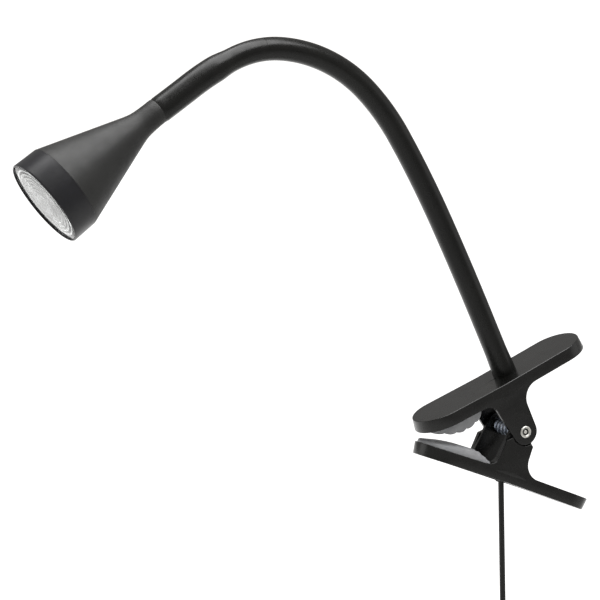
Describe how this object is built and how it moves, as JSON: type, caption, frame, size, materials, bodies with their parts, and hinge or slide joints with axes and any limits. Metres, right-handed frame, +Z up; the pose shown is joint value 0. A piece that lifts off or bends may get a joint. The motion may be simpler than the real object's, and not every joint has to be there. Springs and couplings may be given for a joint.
{
  "type": "clip on reading lamp",
  "caption": "Reading lamp with a spring clamp, a bendable gooseneck and a small conical LED head; low-voltage cord with a rocker switch and a pin-plug driver.",
  "frame": {"origin": "point between the two jaw pads where the clamp grips, on the lamp's middle plane", "axes": "+X from the jaw tips towards the handles, +Z up, +Y across the clamp; the head is over -X"},
  "size_m": [0.4096, 0.062, 0.6368],
  "materials": {
    "black_abs": "satin moulded ABS",
    "grey_abs": "satin moulded ABS, a little greyer",
    "shade_coat": "satin black powder coat",
    "pad_rubber": "matt grey thermoplastic rubber",
    "sleeve_rubber": "satin black silicone sleeve",
    "zinc_steel": "bright zinc plate",
    "nickel_steel": "nickel plate",
    "nickel_brass": "nickel-plated brass",
    "cord_pvc": "matt black soft PVC",
    "clear_acrylic": "clear moulded acrylic",
    "bright_reflector": "vacuum-metallised plastic",
    "white_board": "white solder mask",
    "led_phosphor": "phosphor coat",
    "cast_alloy": "as cast",
    "green_board": "green solder mask",
    "ferrite": "sintered core and tape"
  },
  "bodies": {
    "lower_jaw": {"lower_jaw": "black_abs", "lower_pad": "pad_rubber", "pivot_rivet": "nickel_steel", "torsion_spring": "zinc_steel", "cord_grommet": "cord_pvc", "inner_lead": "cord_pvc", "cord_upper": "cord_pvc", "switch_base": "black_abs", "switch_cover": "black_abs", "rocker_pin": "zinc_steel", "switch_screws": "zinc_steel", "cord_lower": "cord_pvc", "cord_coil": "cord_pvc", "cord_tie": "cord_pvc", "cord_end": "cord_pvc", "driver_relief": "cord_pvc", "driver_front": "black_abs", "driver_back": "black_abs", "driver_board": "green_board", "driver_transformer": "ferrite", "plug_pins": "nickel_brass"},
    "rocker": {"switch_rocker": "black_abs"},
    "upper_jaw": {"upper_jaw": "black_abs", "upper_pad": "pad_rubber", "base_nipple": "zinc_steel", "base_washer": "zinc_steel", "base_nut": "zinc_steel", "sleeve_0": "sleeve_rubber", "hose_0": "zinc_steel"},
    "neck_1": {"sleeve_1": "sleeve_rubber", "hose_1": "zinc_steel"},
    "neck_2": {"sleeve_2": "sleeve_rubber", "hose_2": "zinc_steel"},
    "neck_3": {"sleeve_3": "sleeve_rubber", "hose_3": "zinc_steel"},
    "neck_4": {"sleeve_4": "sleeve_rubber", "hose_4": "zinc_steel"},
    "neck_5": {"sleeve_5": "sleeve_rubber", "hose_5": "zinc_steel"},
    "head": {"sleeve_6": "sleeve_rubber", "hose_6": "zinc_steel", "neck_ferrule": "zinc_steel", "shade": "shade_coat", "front_ring": "grey_abs", "lens": "clear_acrylic", "reflector": "bright_reflector", "led_chip": "led_phosphor", "led_board": "white_board", "heat_sink": "cast_alloy", "board_screws": "zinc_steel"}
  },
  "joints": [
    {"name": "jaw_hinge", "type": "hinge", "parent": "lower_jaw", "child": "upper_jaw", "pos_m": [0.055, 0, 0], "axis": [0, 1, 0], "range_deg": [0, 36], "stiffness_Nm_per_rad": 1.2, "springref_deg": -57.3, "deforming": ["torsion_spring", "inner_lead"]},
    {"name": "switch_rocker", "type": "hinge", "parent": "lower_jaw", "child": "rocker", "pos_m": [0.047, -0.0042, -0.156], "axis": [-1, 0, 0], "range_deg": [0, 16]},
    {"name": "neck_swing_low", "type": "hinge", "parent": "upper_jaw", "child": "neck_1", "pos_m": [0.03173, 0, 0.08463], "axis": [0.9135, 0, 0.4067], "range_deg": [-20, 20]},
    {"name": "neck_bend_1", "type": "hinge", "parent": "neck_1", "child": "neck_2", "pos_m": [0.00651, 0, 0.14127], "axis": [0, 1, 0], "range_deg": [-20, 20]},
    {"name": "neck_bend_2", "type": "hinge", "parent": "neck_2", "child": "neck_3", "pos_m": [-0.02264, 0, 0.19824], "axis": [0, 1, 0], "range_deg": [-20, 20]},
    {"name": "neck_swing_high", "type": "hinge", "parent": "neck_3", "child": "neck_4", "pos_m": [-0.04189, 0, 0.22625], "axis": [0.7771, 0, 0.6293], "range_deg": [-20, 20]},
    {"name": "neck_bend_3", "type": "hinge", "parent": "neck_4", "child": "neck_5", "pos_m": [-0.09584, 0, 0.26257], "axis": [0, 1, 0], "range_deg": [-20, 20]},
    {"name": "neck_bend_4", "type": "hinge", "parent": "neck_5", "child": "head", "pos_m": [-0.15635, 0, 0.25807], "axis": [0, 1, 0], "range_deg": [-20, 20]}
  ]
}
